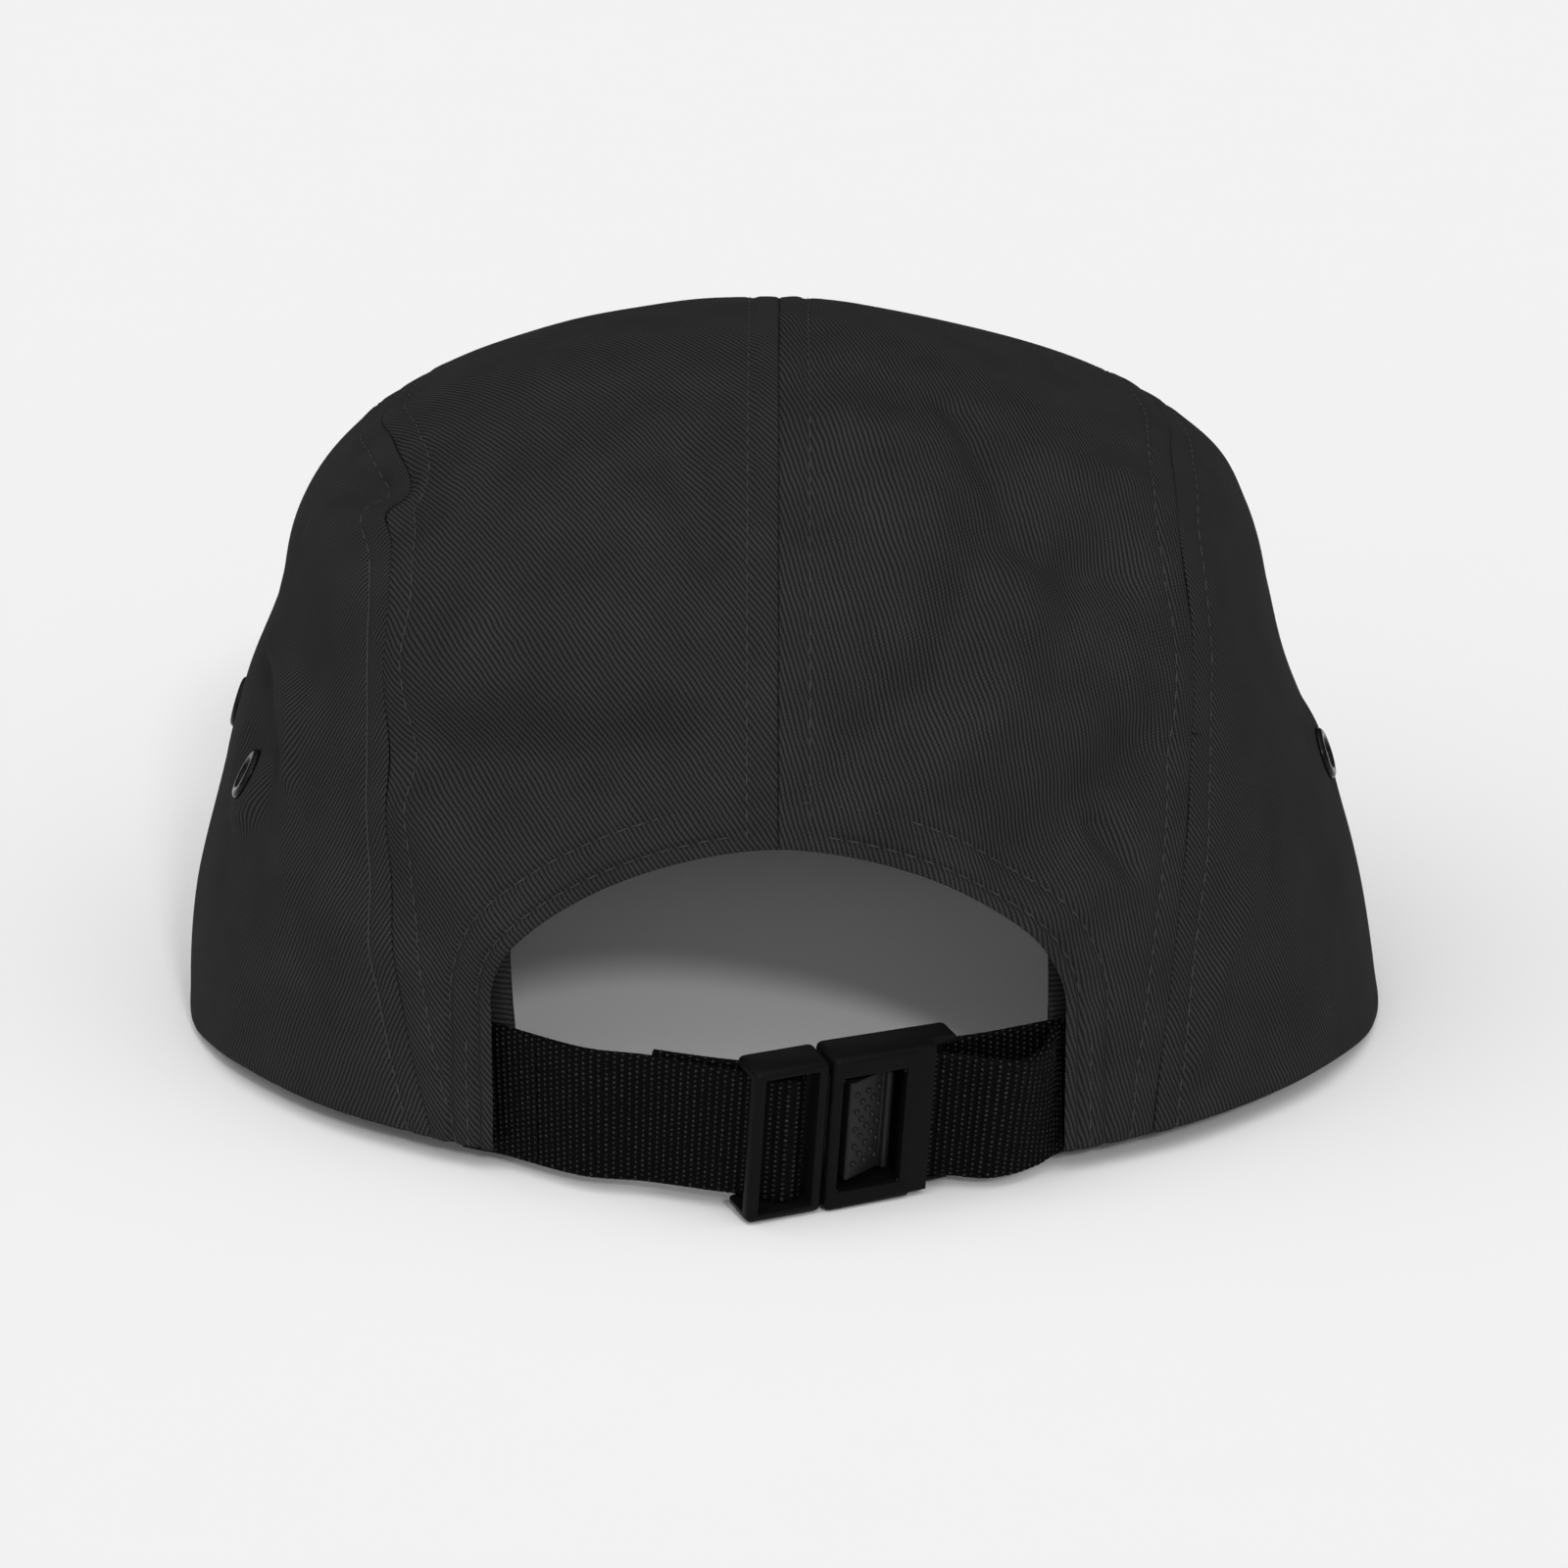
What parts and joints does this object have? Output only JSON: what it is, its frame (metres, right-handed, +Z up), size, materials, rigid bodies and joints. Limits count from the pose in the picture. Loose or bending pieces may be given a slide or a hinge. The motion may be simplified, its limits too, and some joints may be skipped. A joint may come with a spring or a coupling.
{
  "type": "five panel cap",
  "caption": "Soft five panel cap lying on its rim: cloth crown, flat peak, eyelets, and a webbing strap with a press buckle across the arch at the back.",
  "frame": {"origin": "on the surface that the cap lies on, under the middle of its bounding box", "axes": "+Z up, the peak points to -Y and the buckle to +Y, the wearer's left is +X"},
  "size_m": [0.1908, 0.2543, 0.1122],
  "materials": {
    "twill": "black cotton twill",
    "band_cloth": "black ribbed cotton",
    "webbing": "black woven webbing",
    "buckle_plastic": "satin black",
    "eyelet_metal": "glossy black"
  },
  "bodies": {
    "root": {"front_panel": "twill", "left_side_panel": "twill", "right_side_panel": "twill", "left_back_panel": "twill", "right_back_panel": "twill", "peak": "twill", "sweatband": "band_cloth", "left_strap": "webbing", "right_strap": "webbing", "buckle_socket": "buckle_plastic", "buckle_tongue": "buckle_plastic", "left_front_eyelet": "eyelet_metal", "left_back_eyelet": "eyelet_metal", "right_front_eyelet": "eyelet_metal", "right_back_eyelet": "eyelet_metal"}
  },
  "joints": []
}
